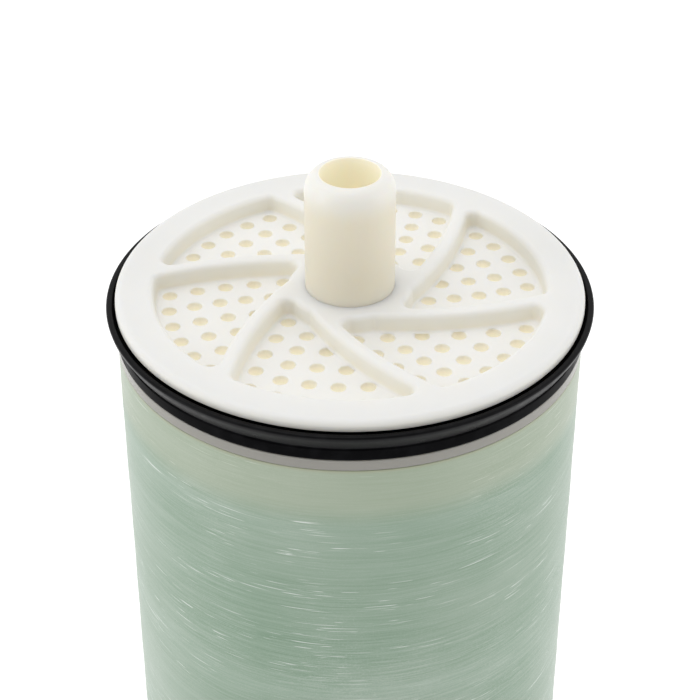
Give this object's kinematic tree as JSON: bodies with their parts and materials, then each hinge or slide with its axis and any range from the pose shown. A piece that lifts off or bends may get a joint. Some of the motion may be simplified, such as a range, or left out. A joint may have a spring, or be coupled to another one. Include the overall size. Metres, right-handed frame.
{
  "type": "reverse osmosis membrane element",
  "caption": "Spiral-wound water filter element: a glass-fibre wrapped scroll of membrane on a drilled tube, with perforated swirl-ribbed end caps and a U-cup brine seal.",
  "frame": {"origin": "centre of the permeate tube's lower, brine end", "axes": "+Z along the element's axis towards the feed end, which carries the brine seal"},
  "size_m": [0.1036, 0.1036, 1.016],
  "materials": {
    "tube_plastic": "satin cream moulded plastic",
    "cap_plastic": "smooth cream-white moulding",
    "seal_rubber": "smooth black rubber",
    "wrap_laminate": "grey-green glass fibre and resin, fine hoop fibres",
    "tape": "thin pale tape",
    "cloth": "woven white permeate cloth",
    "membrane": "smooth off-white membrane",
    "netting": "translucent plastic netting"
  },
  "bodies": {
    "root": {"permeate_tube": "tube_plastic", "end_caps": "cap_plastic", "brine_seal": "seal_rubber", "outer_wrap": "wrap_laminate", "scroll_tape": "tape", "core_wrap": "cloth", "membrane_leaf_1": "membrane", "membrane_leaf_2": "membrane", "membrane_leaf_3": "membrane", "membrane_leaf_4": "membrane", "feed_spacer_1": "netting", "feed_spacer_2": "netting", "feed_spacer_3": "netting", "feed_spacer_4": "netting", "permeate_carrier_1": "cloth", "permeate_carrier_2": "cloth", "permeate_carrier_3": "cloth", "permeate_carrier_4": "cloth"}
  },
  "joints": []
}
